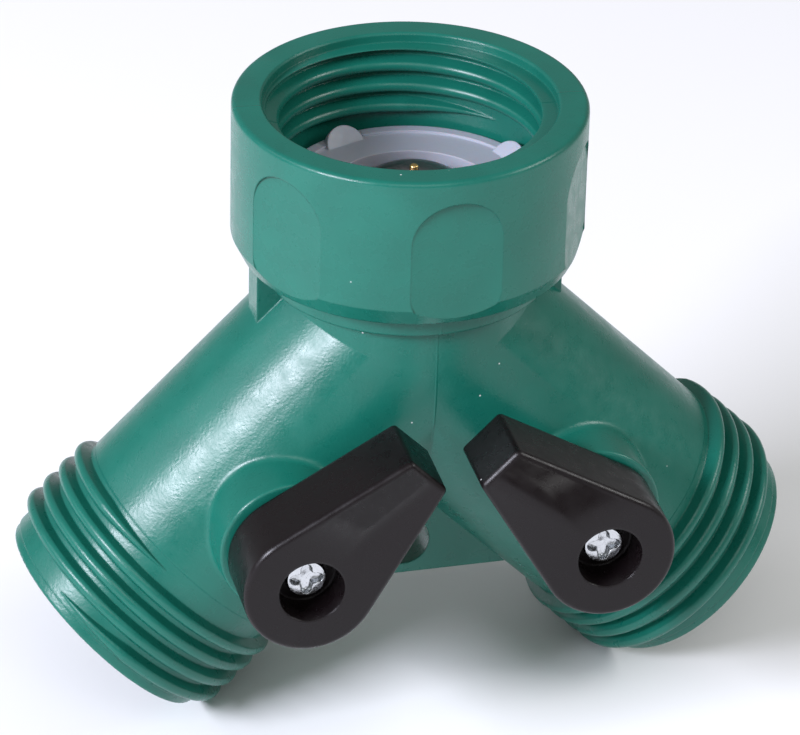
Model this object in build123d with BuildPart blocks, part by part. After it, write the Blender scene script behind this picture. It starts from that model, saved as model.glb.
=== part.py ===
from build123d import *

import os
from math import atan, cos, pi, radians, sin

# Two-way garden hose splitter with a shut-off valve in each leg, in millimetres.
# The origin is the centre of the inlet's rim, +Z runs up out of the inlet, the
# legs spread along -X and +X, and the valve levers are on the -Y side. Heights
# below the rim are negative z, and heights over a valve's centre are negative y.

# ---- driving dimensions -----------------------------------------------------
SIDES = {"left": -1, "right": 1}
THREAD_PITCH = 25.4 / 11.5  # garden hose thread, 11.5 turns to the inch
RIDGE_FOOT, RIDGE_CREST = 0.88, 0.46  # half widths of a thread ridge
RIDGE_CROWN = 0.15  # share of its height that is the rounded crest
RUN_OUT = 40.0  # degrees over which a ridge rises out of its tube
RIDGE_START = 0.1  # share of its full size at a ridge's tapered end

# swivelling inlet nut
NUT_RADIUS = 16.85
NUT_HEIGHT = 15.2
NUT_RIM_ROUNDING = 0.55
NUT_FOOT_CHAMFER = 1.8, 0.9  # up the wall, and in from it
NUT_ROOT_RADIUS = 13.65
NUT_FOOT_RADIUS = 13.8  # where its ridge is rooted in the wall
NUT_CREST_RADIUS = 12.35
NUT_THREAD_BOTTOM = -7.6
NUT_THREAD_START = 37.0  # degrees from +X, just past one of the washer's ears
NUT_LIP_TOP = -13.9
LEAD_IN_RADIUS = 13.95
LEAD_IN_DEPTH = 1.0
LEAD_IN_CHAMFER = 0.2
GRIP_COUNT = 6
GRIP_ANGLE = -88.0
GRIP_PLANE = 16.25  # distance of each flat from the axis
GRIP_HALF_WIDTH = 4.4
GRIP_TOP = -2.4
GRIP_BOTTOM = -14.6
GRIP_CORNER = 2.4
SWIVEL_CLEARANCE = 0.07

# body
TUBE_RADIUS = 12.3
JUNCTION_DEPTH = 23.7  # where the axes of the legs and the neck meet
LEG_ANGLE = 45.0
LEG_LENGTH = 41.9
THREAD_ZONE = 30.2  # along the leg, where the tube steps down to the thread's root
OUTLET_ROOT_RADIUS = 12.2
OUTLET_FOOT_RADIUS = 12.1
OUTLET_CREST_RADIUS = 13.4
OUTLET_THREAD_TOP = 31.2
OUTLET_THREAD_END = 40.2
OUTLET_THREAD_END_ANGLE = 52.0
SPIGOT_START = 40.9
SPIGOT_RADIUS = 12.0
SPIGOT_ROUNDING = 0.3
SHOULDER_RADIUS = 13.6
SHOULDER_TOP = -15.6
SHOULDER_BOTTOM = -17.8
PLATE_THICKNESS = 3.5  # the web between the legs, and the two ribs
WEB_REACH = 16.0
WEB_BOTTOM = -51.4
RIB_INNER = 8.0
RIB_REACH = 15.0
RIB_BOTTOM = -24.0
HANG_HOLE_RADIUS = 2.6
HANG_HOLE_DEPTH = 47.8
LEG_BORE_RADIUS = 9.2
WATERWAY_RADIUS = 5.6
NECK_WATERWAY_RADIUS = 7.6
CHAMBER_DROP = 2.0
SOCKET_RADIUS = 10.35
SOCKET_BOTTOM = -23.0
SNAP_Z = -18.6
SNAP_HEIGHT = 1.0
SNAP_RISE = 0.45

# washer, screen and swivel sleeve
WASHER_TOP = -9.4
WASHER_BOTTOM = -12.55
WASHER_RADIUS = 12.65
WASHER_STEP_RADIUS = 11.6
WASHER_STEP = 0.25
WASHER_HOLE = 7.9
EAR_COUNT = 4
EAR_ANGLE = 22.0
EAR_WIDTH = 4.2
EAR_THICKNESS = 0.7
EAR_TILT = 48.0
EAR_FOOT_RADIUS = 11.35
EAR_FOOT_Z = -10.2
WASHER_SHIFT = 0.5  # how far the loose washer lies off the axis, towards +X
SCREEN_LEDGE = -11.4
SCREEN_LEDGE_RADIUS = 7.2
SCREEN_THICKNESS = 0.4
SCREEN_DOME_RADIUS = 6.8
SCREEN_APEX = -7.4
BUTTON_RADIUS = 0.45
BUTTON_HEIGHT = 0.45
SLEEVE_TOP = -12.7
SLEEVE_FLANGE_RADIUS = 12.1
SLEEVE_FLANGE_BOTTOM = -13.8
SLEEVE_RADIUS = 10.32
SLEEVE_BOTTOM = -22.9
NECK_SEAL_Z = -21.0
RING_WIRE = 0.56  # half the thickness of every O-ring
RING_DEPTH = 1.09  # depth of its groove
RING_GROOVE = 0.7  # half the width of its groove

# valves
PIVOT_ALONG_LEG = 20.4
BALL_RADIUS = 8.4
BALL_BORE_RADIUS = 5.2
SEAT_CLEARANCE = 0.03
SEAT_RADIUS = 9.15
SEAT_NEAR = 5.1  # faces of a seat ring, from the ball's centre
SEAT_FAR = 8.8
RETAINER_START = PIVOT_ALONG_LEG + SEAT_FAR + 0.05
RETAINER_LENGTH = 6.0
RETAINER_BORE_RADIUS = 6.4
TOOL_SLOT_WIDTH = 2.4
TOOL_SLOT_DEPTH = 1.5
SLOT_FLOOR = 5.8
TONGUE_WIDTH = 3.0
TONGUE_LENGTH = 7.4
FLANGE_LIFT = 0.15
FLANGE_THICKNESS = 1.65
STEM_RADIUS = 3.44
STEM_HOLE_RADIUS = 3.5
STEM_FLANGE_RADIUS = 4.6
STEM_POCKET_RADIUS = 4.7
STEM_POCKET_FACE = -10.9
STEM_SEALS = {"inner": -12.3, "outer": -14.5}
WASHER_THICKNESS = 0.6
SQUARE_WIDTH = 4.4
SQUARE_HEIGHT = 2.2
BOSS_RADIUS = 7.1
BOSS_FACE = -15.9
BOSS_ROUNDING = 0.3
BOSS_ROOT_FILLET = 0.8
STOP_INNER, STOP_OUTER = 4.3, 5.2
STOP_HEIGHT = 0.9
STOP_HALF_ANGLE = 12.0
STOP_PLAY = 0.3
STOP_SLACK = 2.0  # degrees left between the lug and each end of the lever's groove

# levers and their screws
LEVER_SWING = 90.0
LEVER_BACK = -16.4
LEVER_FRONT = -23.6
LEVER_ROUND = 6.45
LEVER_TAPER = 15.0  # half of the angle between its two sides
LEVER_REACH = 15.7
LEVER_TIP_ROUNDING = 0.5
LEVER_EDGE_ROUNDING = 0.55
LEVER_POCKET_RADIUS = 3.15
CORE_OUTLINE = [(-7.4, 3.0), (-14.0, 1.3), (-14.0, -1.3), (-7.4, -3.0)]
CORE_DEPTH = 5.0
SCREW_SEAT = -19.9
SCREW_HEAD_TOP = -21.3
SCREW_HEAD_RADIUS = 1.95
SCREW_HEAD_ROUNDING = 0.4
SCREW_RADIUS = 1.15
SCREW_LENGTH = 7.0
SCREW_HOLE_RADIUS = 1.2
SCREW_HOLE_DEPTH = 4.4
SCREW_CLEARANCE_RADIUS = 1.5
RECESS_SPAN = 2.3
RECESS_WIDTH = 0.6
RECESS_DEPTH = 0.8

GAP = 0.05  # between pieces of one body that lie together
OVERCUT = 1.0  # how far a cut runs past what it cuts

JUNCTION = Vector(0, 0, -JUNCTION_DEPTH)
SLANT = radians(LEG_ANGLE)


def leg_axis(side):
    return Vector(side * sin(SLANT), 0, -cos(SLANT))


def turned(plane, turn):
    """The same plane, turned about its own z."""
    return Plane(plane.location * Location((0, 0, 0), (0, 0, turn)))


def leg_plane(side, along=0.0, turn=0.0):
    """A plane across a leg: its z runs down the leg and its x is square to both legs."""
    plane = Plane(origin=JUNCTION, x_dir=(0, side, 0), z_dir=leg_axis(side))
    return turned(plane.offset(along), turn)


def valve_plane(side, y, turn=0.0):
    """The plane at height y over a valve's centre: its z runs forwards and its x down the leg."""
    centre = JUNCTION + leg_axis(side) * PIVOT_ALONG_LEG + Vector(0, y, 0)
    return turned(Plane(origin=centre, x_dir=leg_axis(side), z_dir=(0, -1, 0)), turn)


def disc(plane, radius, height, mode=Mode.ADD):
    """A cylinder that stands on a plane, added to or cut from the part being built."""
    with BuildSketch(plane) as section:
        Circle(radius)
    extrude(section.sketch, amount=height, mode=mode)


def groove(plane, outer, inner):
    """An O-ring's groove, centred on a plane."""
    with BuildSketch(plane) as section:
        Circle(outer + OVERCUT)
        Circle(inner, mode=Mode.SUBTRACT)
    extrude(section.sketch, amount=RING_GROOVE, both=True, mode=Mode.SUBTRACT)


def o_ring(plane, inner):
    """A ring of round rubber whose hole lies on its groove's floor."""
    centre = plane.origin + plane.x_dir * (inner + RING_WIRE)
    with BuildSketch(Plane(origin=centre, x_dir=plane.x_dir, z_dir=plane.y_dir)) as section:
        Circle(RING_WIRE)
    revolve(section.sketch, axis=Axis(plane.origin, plane.z_dir))


def ring_sector(plane, inner, outer, half_angle, height, mode=Mode.ADD):
    """A piece of a ring, centred on the plane's x, added to or cut from the part being built."""
    with BuildSketch(plane) as section:
        with BuildLine():
            near = CenterArc((0, 0), inner, -half_angle, 2 * half_angle)
            far = CenterArc((0, 0), outer, -half_angle, 2 * half_angle)
            Line(near @ 0, far @ 0)
            Line(near @ 1, far @ 1)
        make_face()
    extrude(section.sketch, amount=height, mode=mode)


def ridge_section(radius, turn, height, rise, size):
    """A cross-section of a thread ridge, square to its helix. A negative rise points inwards."""
    lead = atan(THREAD_PITCH / (2 * pi * radius))
    a = radians(turn)
    foot, crest, top, shoulder = (
        size * length for length in (RIDGE_FOOT, RIDGE_CREST, rise, rise * (1 - RIDGE_CROWN))
    )
    plane = Plane(
        origin=(radius * cos(a), radius * sin(a), height),
        x_dir=(cos(a), sin(a), 0),
        z_dir=(-sin(a) * cos(lead), cos(a) * cos(lead), sin(lead)),
    )
    with BuildSketch(plane) as section:
        with BuildLine():
            Polyline((shoulder, -crest), (0, -foot), (0, foot), (shoulder, crest))
            ThreePointArc((shoulder, crest), (top, 0), (shoulder, -crest))
        make_face()
    return section.sketch


def helix_ridge(plane, radius, turn, rise, start_size=1.0):
    """A ridge that climbs along the plane's z, and grows to full size from start_size."""
    height = THREAD_PITCH * turn / 360
    tapered = start_size < 1
    sections = [ridge_section(radius, 0, 0, rise, start_size)]
    if tapered:
        sections.append(ridge_section(radius, turn, height, rise, 1.0))
    with BuildLine() as path:
        Helix(pitch=THREAD_PITCH, height=height, radius=radius)
    ridge = sweep(sections=sections, path=path.line, multisection=tapered, is_frenet=True)
    return ridge.moved(plane.location)


def outlet_ridge(side):
    """An outlet's thread: a helix between two ends that rise out of the tube."""
    turn = (OUTLET_THREAD_END - OUTLET_THREAD_TOP) / THREAD_PITCH * 360
    start = OUTLET_THREAD_END_ANGLE - turn
    rise = OUTLET_CREST_RADIUS - OUTLET_FOOT_RADIUS
    length = THREAD_PITCH * RUN_OUT / 360
    top = leg_plane(side, OUTLET_THREAD_TOP, start)
    middle = leg_plane(side, OUTLET_THREAD_TOP + length, start + RUN_OUT)
    end = leg_plane(side, OUTLET_THREAD_END, OUTLET_THREAD_END_ANGLE)
    end = Plane(origin=end.origin, x_dir=end.x_dir, z_dir=-end.z_dir)
    return [
        helix_ridge(top, OUTLET_FOOT_RADIUS, RUN_OUT, rise, RIDGE_START),
        helix_ridge(middle, OUTLET_FOOT_RADIUS, turn - 2 * RUN_OUT, rise),
        helix_ridge(end, OUTLET_FOOT_RADIUS, RUN_OUT, rise, RIDGE_START),
    ]


def inlet_ridge():
    """The nut's thread: it rises out of the wall below, and runs out past the rim."""
    rise = NUT_CREST_RADIUS - NUT_FOOT_RADIUS
    length = THREAD_PITCH * RUN_OUT / 360
    climb = (length - NUT_THREAD_BOTTOM) / THREAD_PITCH * 360 - RUN_OUT
    start = turned(Plane.XY.offset(NUT_THREAD_BOTTOM), NUT_THREAD_START)
    full = turned(Plane.XY.offset(NUT_THREAD_BOTTOM + length), NUT_THREAD_START + RUN_OUT)
    return [
        helix_ridge(start, NUT_FOOT_RADIUS, RUN_OUT, rise, RIDGE_START),
        helix_ridge(full, NUT_FOOT_RADIUS, climb, rise),
    ]


def save(part, name):
    part.label = name
    export_step(part, f"parts/{name}.step")


def is_boss_root(edge):
    """True of an edge where a boss meets its leg: all of it lies on the boss's wall, behind its face."""
    for side in SIDES.values():
        centre = valve_plane(side, 0).origin
        reach = [
            ((point.X - centre.X) ** 2 + (point.Z - centre.Z) ** 2) ** 0.5
            for point in (edge @ 0, edge @ 0.5, edge @ 1)
        ]
        on_wall = all(abs(r - BOSS_RADIUS) < GAP for r in reach)
        if on_wall and BOSS_FACE + GAP < edge.center().Y < 0 and edge.length > BOSS_RADIUS:
            return True
    return False


os.makedirs("parts", exist_ok=True)

# ---- y_body: neck, legs, valve bosses, web, ribs and outlet threads ----------
ridges = [ridge for side in SIDES.values() for ridge in outlet_ridge(side)]

with BuildPart() as y_body:
    disc(Plane.XY.offset(SHOULDER_BOTTOM), SHOULDER_RADIUS, SHOULDER_TOP - SHOULDER_BOTTOM)
    disc(Plane.XY.offset(-JUNCTION_DEPTH), TUBE_RADIUS, JUNCTION_DEPTH + SHOULDER_BOTTOM)
    for side in SIDES.values():
        disc(leg_plane(side), TUBE_RADIUS, THREAD_ZONE)
        disc(leg_plane(side, THREAD_ZONE), OUTLET_ROOT_RADIUS, SPIGOT_START - THREAD_ZONE)
        disc(leg_plane(side, SPIGOT_START), SPIGOT_RADIUS, LEG_LENGTH - SPIGOT_START)
        fillet(y_body.edges().group_by(Axis(JUNCTION, leg_axis(side)))[-1], SPIGOT_ROUNDING)
        disc(valve_plane(side, -LEG_BORE_RADIUS), BOSS_RADIUS, -BOSS_FACE - LEG_BORE_RADIUS)
    boss_roots = y_body.edges().filter_by(is_boss_root)
    fillet(boss_roots, BOSS_ROOT_FILLET)
    fillet(y_body.edges().group_by(Axis.Y)[0], BOSS_ROUNDING)
    disc(Plane.XY.offset(SHOULDER_TOP), NUT_RADIUS, TUBE_RADIUS, Mode.SUBTRACT)

    # the web spans the crotch, and a rib stands on each leg under the nut
    with BuildSketch(Plane.XZ):
        with BuildLine():
            Polyline((0, -JUNCTION_DEPTH), (WEB_REACH, WEB_BOTTOM), (-WEB_REACH, WEB_BOTTOM), close=True)
        make_face()
        for side in SIDES.values():
            with BuildLine():
                Polyline(
                    (side * RIB_INNER, SHOULDER_TOP),
                    (side * RIB_REACH, SHOULDER_TOP),
                    (side * RIB_REACH, RIB_BOTTOM),
                    close=True,
                )
            make_face()
    extrude(amount=PLATE_THICKNESS / 2, both=True)
    for ridge in ridges:
        add(ridge)

    # waterways, the swivel sleeve's socket, and what holds each valve
    cut = Mode.SUBTRACT
    disc(Plane.XY.offset(SOCKET_BOTTOM), SOCKET_RADIUS, SHOULDER_TOP - SOCKET_BOTTOM, cut)
    snap_plane = Plane.XY.offset(SNAP_Z - SNAP_HEIGHT / 2 - GAP)
    disc(snap_plane, SOCKET_RADIUS + SNAP_RISE, SNAP_HEIGHT + 2 * GAP, cut)
    chamber_floor = -JUNCTION_DEPTH - CHAMBER_DROP
    disc(Plane.XY.offset(chamber_floor), NECK_WATERWAY_RADIUS, SOCKET_BOTTOM - chamber_floor, cut)
    for side in SIDES.values():
        disc(leg_plane(side), WATERWAY_RADIUS, PIVOT_ALONG_LEG, cut)
        disc(leg_plane(side, PIVOT_ALONG_LEG - SEAT_FAR - GAP), LEG_BORE_RADIUS, LEG_LENGTH, cut)
        disc(valve_plane(side, 0), STEM_POCKET_RADIUS, -STEM_POCKET_FACE, cut)
        disc(valve_plane(side, 0), STEM_HOLE_RADIUS, -BOSS_FACE + OVERCUT, cut)
    with BuildSketch(Plane.XZ):
        with Locations((0, -HANG_HOLE_DEPTH)):
            Circle(HANG_HOLE_RADIUS)
    extrude(amount=PLATE_THICKNESS, both=True, mode=cut)

    # a lug on each boss stops the lever at both ends of its swing
    for side in SIDES.values():
        stop_plane = valve_plane(side, BOSS_FACE, -LEG_ANGLE * side)
        ring_sector(stop_plane, STOP_INNER, STOP_OUTER, STOP_HALF_ANGLE, STOP_HEIGHT)
save(y_body.part, "y_body")

# ---- coupling_nut: the swivelling inlet, with its thread and six flats -------
nut_ridges = inlet_ridge()
with BuildPart() as coupling_nut:
    # the ridge runs out past the rim, which is then trimmed level and counterbored
    disc(Plane.XY.offset(-NUT_HEIGHT), NUT_RADIUS, NUT_HEIGHT + 2 * THREAD_PITCH)
    disc(Plane.XY.offset(NUT_LIP_TOP), NUT_ROOT_RADIUS, 2 * NUT_HEIGHT, Mode.SUBTRACT)
    for ridge in nut_ridges:
        add(ridge)
    disc(Plane.XY, 2 * NUT_RADIUS, NUT_HEIGHT, Mode.SUBTRACT)
    with BuildSketch(Plane.XZ):
        with BuildLine():
            Polyline(
                (0, -LEAD_IN_DEPTH),
                (LEAD_IN_RADIUS, -LEAD_IN_DEPTH),
                (LEAD_IN_RADIUS, -LEAD_IN_CHAMFER),
                (LEAD_IN_RADIUS + LEAD_IN_CHAMFER + OVERCUT, OVERCUT),
                (0, OVERCUT),
                close=True,
            )
        make_face()
    revolve(axis=Axis.Z, mode=Mode.SUBTRACT)
    circles = coupling_nut.edges().filter_by(GeomType.CIRCLE).group_by(Axis.Z)
    fillet(circles[-1].sort_by(SortBy.RADIUS)[-1], NUT_RIM_ROUNDING)
    foot = circles[0].sort_by(SortBy.RADIUS)[-1]
    wall = coupling_nut.faces().filter_by(GeomType.CYLINDER).sort_by(SortBy.AREA)[-1]
    chamfer(foot, *NUT_FOOT_CHAMFER, reference=wall)
    disc(Plane.XY.offset(-NUT_HEIGHT), SLEEVE_RADIUS + SWIVEL_CLEARANCE, NUT_HEIGHT / 2, Mode.SUBTRACT)
    for step in range(GRIP_COUNT):
        angle = radians(GRIP_ANGLE + step * 360 / GRIP_COUNT)
        out = Vector(cos(angle), sin(angle), 0)
        flat = Plane(origin=out * GRIP_PLANE, x_dir=(-sin(angle), cos(angle), 0), z_dir=out)
        with BuildSketch(flat) as grip:
            with Locations((0, (GRIP_TOP + GRIP_BOTTOM) / 2)):
                Rectangle(2 * GRIP_HALF_WIDTH, GRIP_TOP - GRIP_BOTTOM)
            fillet(grip.vertices().group_by(Axis.Y)[0], GRIP_CORNER)
            fillet(grip.vertices().group_by(Axis.Y)[-1], GRIP_HALF_WIDTH - GAP)
        extrude(amount=OVERCUT, mode=Mode.SUBTRACT)
save(coupling_nut.part, "coupling_nut")

# ---- hose_washer: flat ring with four ears that catch under the thread -------
# The washer lies loose in the nut, a little off its axis, and the screen with it.
washer_axis = Vector(WASHER_SHIFT, 0, 0)


def washer_plane(z):
    return Plane(origin=washer_axis + Vector(0, 0, z))


with BuildPart() as hose_washer:
    disc(washer_plane(WASHER_BOTTOM), WASHER_RADIUS, WASHER_TOP - WASHER_BOTTOM)
    disc(washer_plane(WASHER_TOP - WASHER_STEP), WASHER_STEP_RADIUS, NUT_HEIGHT, Mode.SUBTRACT)
    for step in range(EAR_COUNT):
        angle = radians(EAR_ANGLE + step * 360 / EAR_COUNT)
        out = Vector(cos(angle), sin(angle), 0)
        along = Vector(-sin(angle), cos(angle), 0)
        tilt = radians(EAR_TILT)
        ear_foot = washer_axis + out * EAR_FOOT_RADIUS + Vector(0, 0, EAR_FOOT_Z)
        ear_normal = Vector(0, 0, cos(tilt)) - out * sin(tilt)
        disc(Plane(origin=ear_foot, x_dir=along, z_dir=ear_normal), EAR_WIDTH / 2, EAR_THICKNESS)
    disc(washer_plane(WASHER_BOTTOM), SCREEN_LEDGE_RADIUS, NUT_HEIGHT, Mode.SUBTRACT)
    disc(washer_plane(SCREEN_LEDGE), WASHER_HOLE, NUT_HEIGHT, Mode.SUBTRACT)
save(hose_washer.part, "hose_washer")

# ---- filter_screen and screen_button: a domed strainer and its centre rivet --
dome_rise = SCREEN_APEX - SCREEN_LEDGE - SCREEN_THICKNESS
dome_radius = (SCREEN_DOME_RADIUS**2 + dome_rise**2) / (2 * dome_rise)
with BuildPart() as filter_screen:
    with Locations(washer_axis + Vector(0, 0, SCREEN_APEX - dome_radius)):
        Sphere(dome_radius)
        Sphere(dome_radius - SCREEN_THICKNESS, mode=Mode.SUBTRACT)
    split(bisect_by=washer_plane(SCREEN_LEDGE + GAP), keep=Keep.TOP)
    with BuildSketch(washer_plane(SCREEN_LEDGE + GAP)):
        Circle(WASHER_HOLE - GAP)
        Circle(SCREEN_DOME_RADIUS - SCREEN_THICKNESS, mode=Mode.SUBTRACT)
    extrude(amount=SCREEN_THICKNESS)
    disc(washer_plane(SCREEN_LEDGE), BUTTON_RADIUS, NUT_HEIGHT, Mode.SUBTRACT)
save(filter_screen.part, "filter_screen")

with BuildPart() as screen_button:
    disc(washer_plane(SCREEN_APEX - BUTTON_HEIGHT), BUTTON_RADIUS - GAP / 2, 2 * BUTTON_HEIGHT)
    fillet(screen_button.edges().group_by(Axis.Z)[-1], BUTTON_RADIUS / 2)
save(screen_button.part, "screen_button")

# ---- swivel_sleeve and neck_seal: they hold the nut on the neck --------------
with BuildPart() as swivel_sleeve:
    disc(Plane.XY.offset(SLEEVE_BOTTOM), SLEEVE_RADIUS, SLEEVE_TOP - SLEEVE_BOTTOM)
    disc(Plane.XY.offset(SLEEVE_FLANGE_BOTTOM), SLEEVE_FLANGE_RADIUS, SLEEVE_TOP - SLEEVE_FLANGE_BOTTOM)
    disc(Plane.XY.offset(SNAP_Z - SNAP_HEIGHT / 2), SOCKET_RADIUS + SNAP_RISE - GAP, SNAP_HEIGHT)
    disc(Plane.XY.offset(SLEEVE_BOTTOM), NECK_WATERWAY_RADIUS, NUT_HEIGHT, Mode.SUBTRACT)
    groove(Plane.XY.offset(NECK_SEAL_Z), SLEEVE_RADIUS, SLEEVE_RADIUS - RING_DEPTH)
save(swivel_sleeve.part, "swivel_sleeve")

with BuildPart() as neck_seal:
    o_ring(Plane.XY.offset(NECK_SEAL_Z), SLEEVE_RADIUS - RING_DEPTH)
save(neck_seal.part, "neck_seal")

# ---- one valve in each leg ---------------------------------------------------
lever_tip = (LEVER_ROUND - LEVER_REACH * sin(radians(LEVER_TAPER))) / cos(radians(LEVER_TAPER))
for name, side in SIDES.items():
    centre = valve_plane(side, 0).origin

    with BuildPart() as ball:
        with Locations(centre):
            Sphere(BALL_RADIUS)
        disc(leg_plane(side), BALL_BORE_RADIUS, LEG_LENGTH, Mode.SUBTRACT)
        with BuildSketch(valve_plane(side, -SLOT_FLOOR)):
            Rectangle(TONGUE_WIDTH + 2 * GAP, 2 * BALL_RADIUS)
        extrude(amount=BALL_RADIUS, mode=Mode.SUBTRACT)
    save(ball.part, f"ball_{name}")

    seats = {"upstream": -SEAT_FAR, "downstream": SEAT_NEAR}
    for place, start in seats.items():
        with BuildPart() as seat:
            disc(leg_plane(side, PIVOT_ALONG_LEG + start), SEAT_RADIUS, SEAT_FAR - SEAT_NEAR)
            disc(leg_plane(side), BALL_BORE_RADIUS, LEG_LENGTH, Mode.SUBTRACT)
            with Locations(centre):
                Sphere(BALL_RADIUS + SEAT_CLEARANCE, mode=Mode.SUBTRACT)
        save(seat.part, f"{place}_seat_{name}")

    retainer_end = leg_plane(side, RETAINER_START + RETAINER_LENGTH)
    with BuildPart() as seat_retainer:
        disc(leg_plane(side, RETAINER_START), SEAT_RADIUS, RETAINER_LENGTH)
        disc(leg_plane(side), RETAINER_BORE_RADIUS, LEG_LENGTH, Mode.SUBTRACT)
        with BuildSketch(retainer_end.offset(-TOOL_SLOT_DEPTH)):
            Rectangle(2 * LEG_BORE_RADIUS, TOOL_SLOT_WIDTH)
        extrude(amount=OVERCUT + TOOL_SLOT_DEPTH, mode=Mode.SUBTRACT)
    save(seat_retainer.part, f"seat_retainer_{name}")

    with BuildPart() as stem:
        with BuildSketch(valve_plane(side, -SLOT_FLOOR - GAP)):
            Rectangle(TONGUE_WIDTH, TONGUE_LENGTH)
        extrude(amount=BALL_RADIUS - SLOT_FLOOR + FLANGE_LIFT)
        flange_y = -BALL_RADIUS - FLANGE_LIFT
        disc(valve_plane(side, flange_y), STEM_FLANGE_RADIUS, FLANGE_THICKNESS)
        disc(valve_plane(side, flange_y), STEM_RADIUS, flange_y - LEVER_BACK)
        with BuildSketch(valve_plane(side, LEVER_BACK)):
            Rectangle(SQUARE_WIDTH, SQUARE_WIDTH)
        extrude(amount=SQUARE_HEIGHT)
        screw_hole_floor = valve_plane(side, LEVER_BACK + SCREW_HOLE_DEPTH)
        disc(screw_hole_floor, SCREW_HOLE_RADIUS, LEG_LENGTH, Mode.SUBTRACT)
        for height in STEM_SEALS.values():
            groove(valve_plane(side, height), STEM_RADIUS, STEM_RADIUS - RING_DEPTH)
    save(stem.part, f"stem_{name}")

    for place, height in STEM_SEALS.items():
        with BuildPart() as stem_seal:
            o_ring(valve_plane(side, height), STEM_RADIUS - RING_DEPTH)
        save(stem_seal.part, f"stem_seal_{place}_{name}")

    with BuildPart() as stem_washer:
        washer_back = valve_plane(side, STEM_POCKET_FACE + GAP + WASHER_THICKNESS)
        disc(washer_back, STEM_FLANGE_RADIUS, WASHER_THICKNESS)
        disc(valve_plane(side, 0), STEM_HOLE_RADIUS, LEG_LENGTH, Mode.SUBTRACT)
    save(stem_washer.part, f"stem_washer_{name}")

    with BuildPart() as lever:
        with BuildSketch(valve_plane(side, LEVER_BACK)) as outline:
            with BuildLine():
                hub = CenterArc((0, 0), LEVER_ROUND, -90 - LEVER_TAPER, 180 + 2 * LEVER_TAPER)
                Polyline(hub @ 1, (-LEVER_REACH, lever_tip), (-LEVER_REACH, -lever_tip), hub @ 0)
            make_face()
            fillet(outline.vertices().sort_by(Axis.X)[:2], LEVER_TIP_ROUNDING)
        extrude(amount=LEVER_BACK - LEVER_FRONT)
        fillet(lever.edges().group_by(Axis.Y)[0], LEVER_EDGE_ROUNDING)
        disc(valve_plane(side, SCREW_SEAT), LEVER_POCKET_RADIUS, LEG_LENGTH, Mode.SUBTRACT)
        disc(valve_plane(side, 0), SCREW_CLEARANCE_RADIUS, LEG_LENGTH, Mode.SUBTRACT)
        with BuildSketch(valve_plane(side, LEVER_BACK)):
            Rectangle(SQUARE_WIDTH + 2 * GAP, SQUARE_WIDTH + 2 * GAP)
        extrude(amount=SQUARE_HEIGHT + GAP, mode=Mode.SUBTRACT)
        ring_sector(
            valve_plane(side, LEVER_BACK),
            STOP_INNER - STOP_PLAY,
            STOP_OUTER + STOP_PLAY,
            LEVER_SWING / 2 + STOP_HALF_ANGLE + STOP_SLACK,
            STOP_HEIGHT,
            Mode.SUBTRACT,
        )
        with BuildSketch(valve_plane(side, LEVER_BACK)):
            with BuildLine():
                Polyline(*CORE_OUTLINE, close=True)
            make_face()
        extrude(amount=CORE_DEPTH, mode=Mode.SUBTRACT)
    save(lever.part, f"lever_{name}")

    with BuildPart() as lever_screw:
        disc(valve_plane(side, SCREW_SEAT), SCREW_HEAD_RADIUS, SCREW_SEAT - SCREW_HEAD_TOP)
        fillet(lever_screw.edges().group_by(Axis.Y)[0], SCREW_HEAD_ROUNDING)
        disc(valve_plane(side, SCREW_SEAT + SCREW_LENGTH), SCREW_RADIUS, SCREW_LENGTH)
        chamfer(lever_screw.edges().group_by(Axis.Y)[-1], SCREW_RADIUS / 2)
        with BuildSketch(valve_plane(side, SCREW_HEAD_TOP + RECESS_DEPTH)):
            Rectangle(RECESS_SPAN, RECESS_WIDTH)
            Rectangle(RECESS_WIDTH, RECESS_SPAN)
        extrude(amount=OVERCUT, mode=Mode.SUBTRACT)
    save(lever_screw.part, f"lever_screw_{name}")
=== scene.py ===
from math import atan2, cos, hypot, pi, radians, sin

import bmesh
import bpy
from mathutils import Matrix, Vector


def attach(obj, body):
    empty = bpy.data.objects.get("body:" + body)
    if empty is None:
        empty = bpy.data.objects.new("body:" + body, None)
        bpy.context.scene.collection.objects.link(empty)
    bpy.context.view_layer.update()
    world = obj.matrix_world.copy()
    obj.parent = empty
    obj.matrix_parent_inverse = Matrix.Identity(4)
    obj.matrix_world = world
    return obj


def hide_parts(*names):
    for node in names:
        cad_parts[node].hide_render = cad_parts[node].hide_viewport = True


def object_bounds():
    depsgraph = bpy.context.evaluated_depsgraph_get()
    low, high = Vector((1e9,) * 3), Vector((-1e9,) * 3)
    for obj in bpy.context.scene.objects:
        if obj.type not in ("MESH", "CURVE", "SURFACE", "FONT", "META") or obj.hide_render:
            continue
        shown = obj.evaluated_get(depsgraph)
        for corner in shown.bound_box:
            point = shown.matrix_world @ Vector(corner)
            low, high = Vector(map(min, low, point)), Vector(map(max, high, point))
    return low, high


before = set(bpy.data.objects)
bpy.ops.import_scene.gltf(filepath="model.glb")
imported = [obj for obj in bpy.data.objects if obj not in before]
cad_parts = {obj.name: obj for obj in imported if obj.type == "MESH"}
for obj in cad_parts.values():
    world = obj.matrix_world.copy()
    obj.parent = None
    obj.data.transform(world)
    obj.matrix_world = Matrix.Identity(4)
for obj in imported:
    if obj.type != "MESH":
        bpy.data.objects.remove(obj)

cad_low, cad_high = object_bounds()

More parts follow.
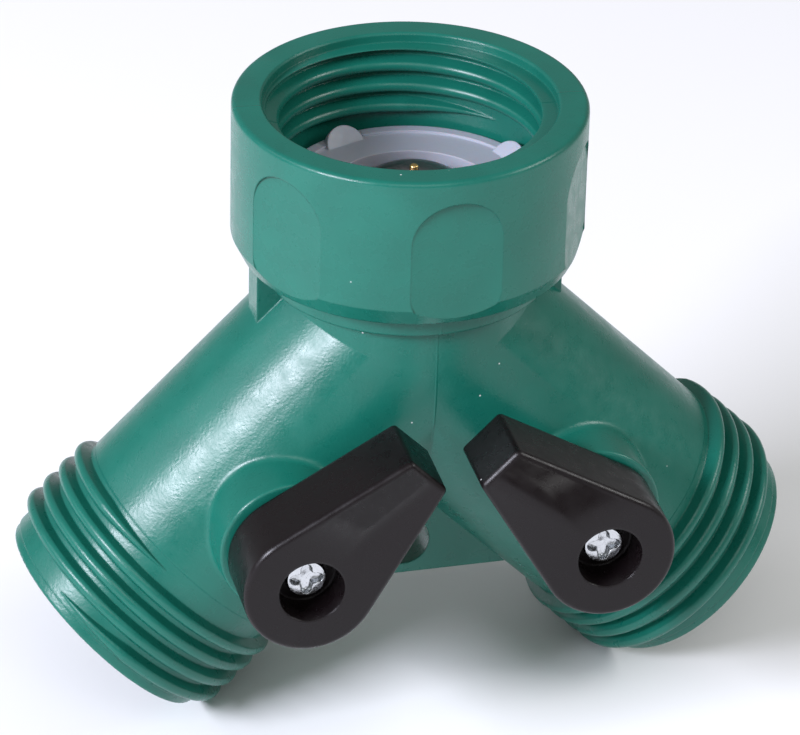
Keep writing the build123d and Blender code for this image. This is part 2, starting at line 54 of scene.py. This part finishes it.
MM = 0.001
Z = Vector((0, 0, 1))
SIDES = {"left": -1, "right": 1}
SLANT = radians(45)
VALVE_ALONG_LEG = 20.4 * MM
JUNCTION = Vector((0, 0, -23.7 * MM))
GREEN = (0.007, 0.13, 0.094)
MOTTLE = 0.9, 1.08  # darkest and lightest share of the green
NUT_SEAM, BODY_SEAM = -6, 90  # azimuths of the moulds' parting lines, in degrees
SEAM_HEIGHT = 0.03
SEAM_WIDTH = 0.14
CORNER = 22  # degrees past which a seam between two faces shows as a sharp edge
SCREW_CORNER = 28


# ---- materials ---------------------------------------------------------------
def shader(name, color, roughness, **sockets):
    """A material with one Principled shader. Other sockets are given by their names, with _ for a space."""
    material = bpy.data.materials.new(name)
    material.use_nodes = True
    principled = material.node_tree.nodes["Principled BSDF"]
    principled.inputs["Base Color"].default_value = (*color, 1)
    principled.inputs["Roughness"].default_value = roughness
    for socket, value in sockets.items():
        principled.inputs[socket.replace("_", " ")].default_value = value
    return material


def nodes_of(material):
    tree = material.node_tree
    return tree, tree.nodes["Principled BSDF"]


def noise(material, size):
    """A noise whose features measure about size millimetres, on Object coordinates."""
    tree, _ = nodes_of(material)
    where = tree.nodes.new("ShaderNodeTexCoord")
    texture = tree.nodes.new("ShaderNodeTexNoise")
    texture.inputs["Scale"].default_value = 1 / (size * MM)
    texture.inputs["Detail"].default_value = 3.0
    tree.links.new(where.outputs["Object"], texture.inputs["Vector"])
    return texture.outputs["Fac"]


def spread(material, value, low, high, start=0.35, end=0.65):
    """Maps a value's start to end onto low to high."""
    tree, _ = nodes_of(material)
    node = tree.nodes.new("ShaderNodeMapRange")
    for socket, number in (("From Min", start), ("From Max", end), ("To Min", low), ("To Max", high)):
        node.inputs[socket].default_value = number
    tree.links.new(value, node.inputs["Value"])
    return node.outputs["Result"]


def vary_roughness(material, size, low, high):
    tree, principled = nodes_of(material)
    tree.links.new(spread(material, noise(material, size), low, high), principled.inputs["Roughness"])


def vary_color(material, size, dark, light):
    tree, principled = nodes_of(material)
    ramp = tree.nodes.new("ShaderNodeValToRGB")
    ramp.color_ramp.elements[0].position = 0.3
    ramp.color_ramp.elements[0].color = (*dark, 1)
    ramp.color_ramp.elements[1].position = 0.7
    ramp.color_ramp.elements[1].color = (*light, 1)
    tree.links.new(noise(material, size), ramp.inputs["Fac"])
    tree.links.new(ramp.outputs["Color"], principled.inputs["Base Color"])


def surface_relief(material, layers, edge=0.0, seam=None):
    """Bumps the surface with (size, height) layers of noise, in millimetres, over edges rounded to edge.
    A seam is the direction, in degrees round Z, of a mould's parting line."""
    tree, principled = nodes_of(material)
    heights = [(noise(material, size), height) for size, height in layers]
    if seam is not None:
        heights.append((parting_line(material, seam), SEAM_HEIGHT))
    normal = None
    if edge:
        bevel = tree.nodes.new("ShaderNodeBevel")
        bevel.samples = 6
        bevel.inputs["Radius"].default_value = edge * MM
        normal = bevel.outputs["Normal"]
    for source, height in heights:
        bump = tree.nodes.new("ShaderNodeBump")
        bump.inputs["Strength"].default_value = 1.0
        bump.inputs["Distance"].default_value = height * MM
        tree.links.new(source, bump.inputs["Height"])
        if normal:
            tree.links.new(normal, bump.inputs["Normal"])
        normal = bump.outputs["Normal"]
    tree.links.new(normal, principled.inputs["Normal"])


def parting_line(material, azimuth):
    """1 on the upright plane through the Z axis at an azimuth, falling to 0 a little way off it."""
    tree, _ = nodes_of(material)
    where = tree.nodes.new("ShaderNodeTexCoord")
    across = tree.nodes.new("ShaderNodeVectorMath")
    across.operation = "DOT_PRODUCT"
    across.inputs[1].default_value = (-sin(radians(azimuth)), cos(radians(azimuth)), 0)
    off = tree.nodes.new("ShaderNodeMath")
    off.operation = "ABSOLUTE"
    tree.links.new(where.outputs["Object"], across.inputs[0])
    tree.links.new(across.outputs["Value"], off.inputs[0])
    return spread(material, off.outputs["Value"], 1.0, 0.0, 0.0, SEAM_WIDTH * MM)


def dust(material, spacing, share, color=(0.75, 0.76, 0.74)):
    """Scatters pale specks: one in each cell of spacing millimetres, in a share of the cells."""
    tree, principled = nodes_of(material)
    where = tree.nodes.new("ShaderNodeTexCoord")
    cells = tree.nodes.new("ShaderNodeTexVoronoi")
    cells.inputs["Scale"].default_value = 1 / (spacing * MM)
    tree.links.new(where.outputs["Object"], cells.inputs["Vector"])
    near = spread(material, cells.outputs["Distance"], 1.0, 0.0, 0.02, 0.05)
    chosen = tree.nodes.new("ShaderNodeSeparateColor")
    tree.links.new(cells.outputs["Color"], chosen.inputs["Color"])
    few = spread(material, chosen.outputs["Red"], 0.0, 1.0, 1 - share, 1 - share + 0.01)
    speck = tree.nodes.new("ShaderNodeMath")
    speck.operation = "MULTIPLY"
    tree.links.new(near, speck.inputs[0])
    tree.links.new(few, speck.inputs[1])
    mix = tree.nodes.new("ShaderNodeMix")
    mix.data_type = "RGBA"
    under = principled.inputs["Base Color"]
    if under.links:
        tree.links.new(under.links[0].from_socket, mix.inputs["A"])
    else:
        mix.inputs["A"].default_value = under.default_value
    mix.inputs["B"].default_value = (*color, 1)
    tree.links.new(speck.outputs["Value"], mix.inputs["Factor"])
    tree.links.new(mix.outputs["Result"], under)


def green_plastic(name, grain, roughness, seam=None):
    material = shader(name, GREEN, roughness, Specular_IOR_Level=0.4)
    dark, light = ([tone * channel for channel in GREEN] for tone in MOTTLE)
    vary_color(material, 6.0, dark, light)
    vary_roughness(material, 1.5, roughness - 0.04, roughness + 0.05)
    surface_relief(material, [(3.0, 0.012), (0.3, grain)], edge=0.25, seam=seam)
    dust(material, 2.2, 0.16)
    return material


def pale_vinyl():
    material = shader("pale_vinyl", (0.36, 0.38, 0.44), 0.4, Subsurface_Weight=0.25, Subsurface_Scale=0.001)
    vary_roughness(material, 1.0, 0.34, 0.48)
    surface_relief(material, [(1.2, 0.02), (0.3, 0.004)], edge=0.2)
    return material


def black_plastic(name, color, roughness, grain):
    material = shader(name, color, roughness, Specular_IOR_Level=0.27)
    vary_roughness(material, 1.2, roughness - 0.05, roughness + 0.06)
    surface_relief(material, [(2.2, 0.008), (0.25, grain)], edge=0.4)
    dust(material, 1.8, 0.16)
    return material


def bright_steel():
    """Zinc-plated steel, darkest where tools and plating leave it rough."""
    material = shader("bright_steel", (0.62, 0.64, 0.66), 0.16, Metallic=1.0)
    vary_roughness(material, 0.3, 0.12, 0.3)
    surface_relief(material, [(0.5, 0.015)], edge=0.05)
    return material


def white_plastic():
    material = shader("white_plastic", (0.8, 0.79, 0.75), 0.35)
    vary_roughness(material, 2.0, 0.3, 0.4)
    surface_relief(material, [(1.0, 0.003)], edge=0.1)
    return material


def metal(name, color, roughness, wear, edge=0.08):
    material = shader(name, color, roughness, Metallic=1.0)
    vary_roughness(material, 0.35, roughness - 0.06, roughness + 0.1)
    surface_relief(material, [(0.5, wear)], edge=edge)
    return material


def nitrile_rubber():
    material = shader("nitrile_rubber", (0.02, 0.02, 0.021), 0.6)
    vary_roughness(material, 1.0, 0.55, 0.7)
    surface_relief(material, [(0.3, 0.003)])
    return material


body_green = green_plastic("body_green", 0.02, 0.3, seam=BODY_SEAM)
nut_green = green_plastic("nut_green", 0.0035, 0.28, seam=NUT_SEAM)
vinyl = pale_vinyl()
lever_black = black_plastic("lever_black", (0.006, 0.004, 0.0045), 0.3, 0.004)
sleeve_black = black_plastic("sleeve_black", (0.02, 0.02, 0.021), 0.45, 0.003)
valve_white = white_plastic()
zinc = bright_steel()
brass = metal("brass", (0.8, 0.55, 0.22), 0.25, 0.004)
screen_wire = metal("screen_wire", (0.3, 0.27, 0.29), 0.35, 0.002, edge=0.0)
rubber = nitrile_rubber()


# ---- the CAD pieces ------------------------------------------------------------
def paint(piece, material):
    piece.data.materials.clear()
    piece.data.materials.append(material)


def shade(copy, corner):
    """Shades a bmesh smooth, but for the seams between CAD faces that turn more than corner degrees."""
    for face in copy.faces:
        face.smooth = True
    for edge in copy.edges:
        edge.smooth = not (edge.seam and edge.calc_face_angle(0) > radians(corner))


def crease(copy, inner, low, high, angle):
    """Also sharpens seams that turn more than angle degrees, outside a radius and between two heights."""
    for edge in copy.edges:
        outside = all(
            vert.co.xy.length > inner * MM and low * MM < vert.co.z < high * MM for vert in edge.verts
        )
        if edge.seam and outside and edge.calc_face_angle(0) > radians(angle):
            edge.smooth = False


def new_piece(name, mesh_bm, body, material):
    mesh = bpy.data.meshes.new(name)
    mesh_bm.to_mesh(mesh)
    mesh_bm.free()
    piece = bpy.data.objects.new(name, mesh)
    bpy.context.scene.collection.objects.link(piece)
    paint(piece, material)
    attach(piece, body)
    return piece


def merged_copy(node):
    """A bmesh of a CAD node whose faces are joined, with a seam wherever two of them meet."""
    copy = bmesh.new()
    copy.from_mesh(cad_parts[node].data)
    for edge in copy.edges:
        edge.seam = edge.is_boundary
    bmesh.ops.remove_doubles(copy, verts=copy.verts, dist=0.002 * MM)
    bmesh.ops.dissolve_degenerate(copy, edges=copy.edges, dist=0.001 * MM)
    return copy


def refined(node, name, body, material):
    """A CAD node's own shape, joined up and shaded smooth, in the node's place."""
    copy = merged_copy(node)
    shade(copy, CORNER)
    if node == "coupling_nut":
        crease(copy, 15.8, -15.1, -1.0, 5)
    piece = new_piece(name, copy, body, material)
    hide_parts(node)
    return piece


SCREW_HEAD = 1.95
SCREW_SHANK = 1.15
HEAD_BACK, HEAD_FRONT = -19.9, -21.3
SHANK_END = -12.9
SHANK_TAPER = 0.5
RECESS_DEPTH = 0.8
RECESS_CORE, RECESS_ARM = 0.85, 0.75  # radius between the arms, and how much further they reach
RECESS_WALL = 0.14
HEAD_CROWN = 0.12
HEAD_RINGS = 22
HEAD_FLAT = 0.92  # share of the head's radius inside its rounded edge


def head_sunk(r, a):
    """How far a point of the screw's front lies behind its middle, in millimetres: a four-armed recess."""
    arm = RECESS_CORE + RECESS_ARM * abs(cos(2 * a)) ** 1.8
    inside = min(1.0, max(0.0, (arm - r) / RECESS_WALL))
    crown = HEAD_CROWN * (r / SCREW_HEAD) ** 4
    return crown + inside * RECESS_DEPTH * (1 - 0.3 * r / SCREW_HEAD)


def turned_screw(name, side):
    """A screw spun round its axis, with a recess sunk into its head."""
    flat = HEAD_FLAT * SCREW_HEAD
    outline = [(flat * ring / HEAD_RINGS, HEAD_FRONT) for ring in range(HEAD_RINGS + 1)]
    outline += [(0.98 * SCREW_HEAD, HEAD_FRONT + 0.25), (SCREW_HEAD, HEAD_FRONT + 0.5)]
    outline += [(SCREW_HEAD, HEAD_BACK)]
    outline += [(SCREW_SHANK, HEAD_BACK), (SCREW_SHANK, SHANK_END - SHANK_TAPER)]
    outline += [(SCREW_SHANK / 2, SHANK_END), (0, SHANK_END)]
    screw = bmesh.new()
    verts = [screw.verts.new((r * MM, y * MM, 0)) for r, y in outline]
    edges = [screw.edges.new(pair) for pair in zip(verts, verts[1:])]
    bmesh.ops.spin(
        screw, geom=verts + edges, cent=(0, 0, 0), axis=(0, 1, 0), angle=2 * pi, steps=96, use_merge=True
    )
    bmesh.ops.remove_doubles(screw, verts=screw.verts, dist=0.001 * MM)
    bmesh.ops.recalc_face_normals(screw, faces=screw.faces)
    for vert in screw.verts:
        if vert.co.y < (HEAD_FRONT + 0.01) * MM:
            vert.co.y += head_sunk(hypot(vert.co.x, vert.co.z) / MM, atan2(vert.co.z, vert.co.x)) * MM
    centre = JUNCTION + Vector((side * sin(SLANT), 0, -cos(SLANT))) * VALVE_ALONG_LEG
    bmesh.ops.translate(screw, verts=screw.verts, vec=centre)
    for face in screw.faces:
        face.smooth = True
    for edge in screw.edges:
        edge.smooth = edge.calc_face_angle(0) < radians(SCREW_CORNER)
    piece = new_piece(f"screw_{name}", screw, f"{name}_valve", zinc)
    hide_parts(f"lever_screw_{name}")


refined("y_body", "body_shell", "splitter", body_green)
refined("coupling_nut", "nut_shell", "inlet_coupling", nut_green)
refined("hose_washer", "washer_ring", "inlet_coupling", vinyl)
refined("filter_screen", "screen_dome", "inlet_coupling", screen_wire)
refined("swivel_sleeve", "sleeve_tube", "splitter", sleeve_black)
paint(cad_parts["screen_button"], brass)
paint(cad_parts["neck_seal"], rubber)
for name, side in SIDES.items():
    turned_screw(name, side)
    valve = f"{name}_valve"
    refined(f"lever_{name}", f"lever_grip_{name}", valve, lever_black)
    refined(f"ball_{name}", f"ball_valve_{name}", valve, valve_white)
    refined(f"stem_{name}", f"stem_turned_{name}", valve, valve_white)
    refined(f"seat_retainer_{name}", f"retainer_ring_{name}", "splitter", sleeve_black)
    for place in ("upstream", "downstream"):
        paint(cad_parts[f"{place}_seat_{name}"], valve_white)
    for place in ("inner", "outer"):
        paint(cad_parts[f"stem_seal_{place}_{name}"], rubber)
    paint(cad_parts[f"stem_washer_{name}"], valve_white)

# ---- floor, light and camera -----------------------------------------------------
FLOOR_SIZE = 4.0
floor_bm = bmesh.new()
bmesh.ops.create_grid(floor_bm, x_segments=1, y_segments=1, size=FLOOR_SIZE)
bmesh.ops.translate(floor_bm, verts=floor_bm.verts, vec=(0, 0, cad_low.z))
floor_mesh = bpy.data.meshes.new("floor")
floor_bm.to_mesh(floor_mesh)
floor_bm.free()
floor = bpy.data.objects.new("floor", floor_mesh)
bpy.context.scene.collection.objects.link(floor)
paint(floor, shader("floor_white", (0.92, 0.92, 0.92), 0.8, Specular_IOR_Level=0.1))


def softbox(name, azimuth, elevation, distance, width, height, power, color=(1, 1, 1)):
    """A rectangular light that faces the object, from degrees round the front and above the horizon."""
    a, e = radians(azimuth), radians(elevation)
    place = Vector((sin(a) * cos(e), -cos(a) * cos(e), sin(e))) * distance + AIM
    light = bpy.data.lights.new(name, "AREA")
    light.shape = "RECTANGLE"
    light.size, light.size_y = width, height
    light.energy = power
    light.color = color
    lamp = bpy.data.objects.new(name, light)
    facing = (AIM - place).to_track_quat("-Z", "Y").to_matrix().to_4x4()
    lamp.matrix_world = Matrix.Translation(place) @ facing
    bpy.context.scene.collection.objects.link(lamp)


AIM = Vector((0, 0, -0.028))
LAVENDER = (0.86, 0.87, 1.0)
softbox("key_softbox", -64, 31, 0.8, 0.36, 0.16, 9.4, LAVENDER)
softbox("left_strip", -105, 30, 0.9, 0.5, 0.14, 0.7, LAVENDER)
softbox("front_fill", -5, 45, 1.0, 0.6, 0.4, 1.7)
softbox("right_fill", 75, 32, 1.1, 0.5, 0.3, 4.2)

world = bpy.data.worlds.new("studio")
bpy.context.scene.world = world
world.use_nodes = True
world.node_tree.nodes["Background"].inputs["Color"].default_value = (1, 1, 1, 1)
world.node_tree.nodes["Background"].inputs["Strength"].default_value = 0.27
bpy.context.scene.view_settings.view_transform = "Standard"

# the camera stands in front, a little left of the middle and well above
CAMERA_PLACE = Vector((-0.10854, -0.41329, 0.21934))
CAMERA_TARGET = Vector((-0.00048, 0, -0.02844))
CAMERA_ROLL = radians(1.46)
camera_data = bpy.data.cameras.new("camera")
camera_data.sensor_width = 36
camera_data.lens = 230.25
camera_data.shift_x = 0.00125
camera_data.shift_y = -0.0067
camera = bpy.data.objects.new("camera", camera_data)
forward = (CAMERA_TARGET - CAMERA_PLACE).normalized()
right = forward.cross(Z).normalized()
up = right.cross(forward)
rolled_right = right * cos(CAMERA_ROLL) + up * sin(CAMERA_ROLL)
rolled_up = up * cos(CAMERA_ROLL) - right * sin(CAMERA_ROLL)
turn = Matrix((rolled_right, rolled_up, -forward)).transposed().to_4x4()
camera.matrix_world = Matrix.Translation(CAMERA_PLACE) @ turn
bpy.context.scene.collection.objects.link(camera)
bpy.context.scene.camera = camera
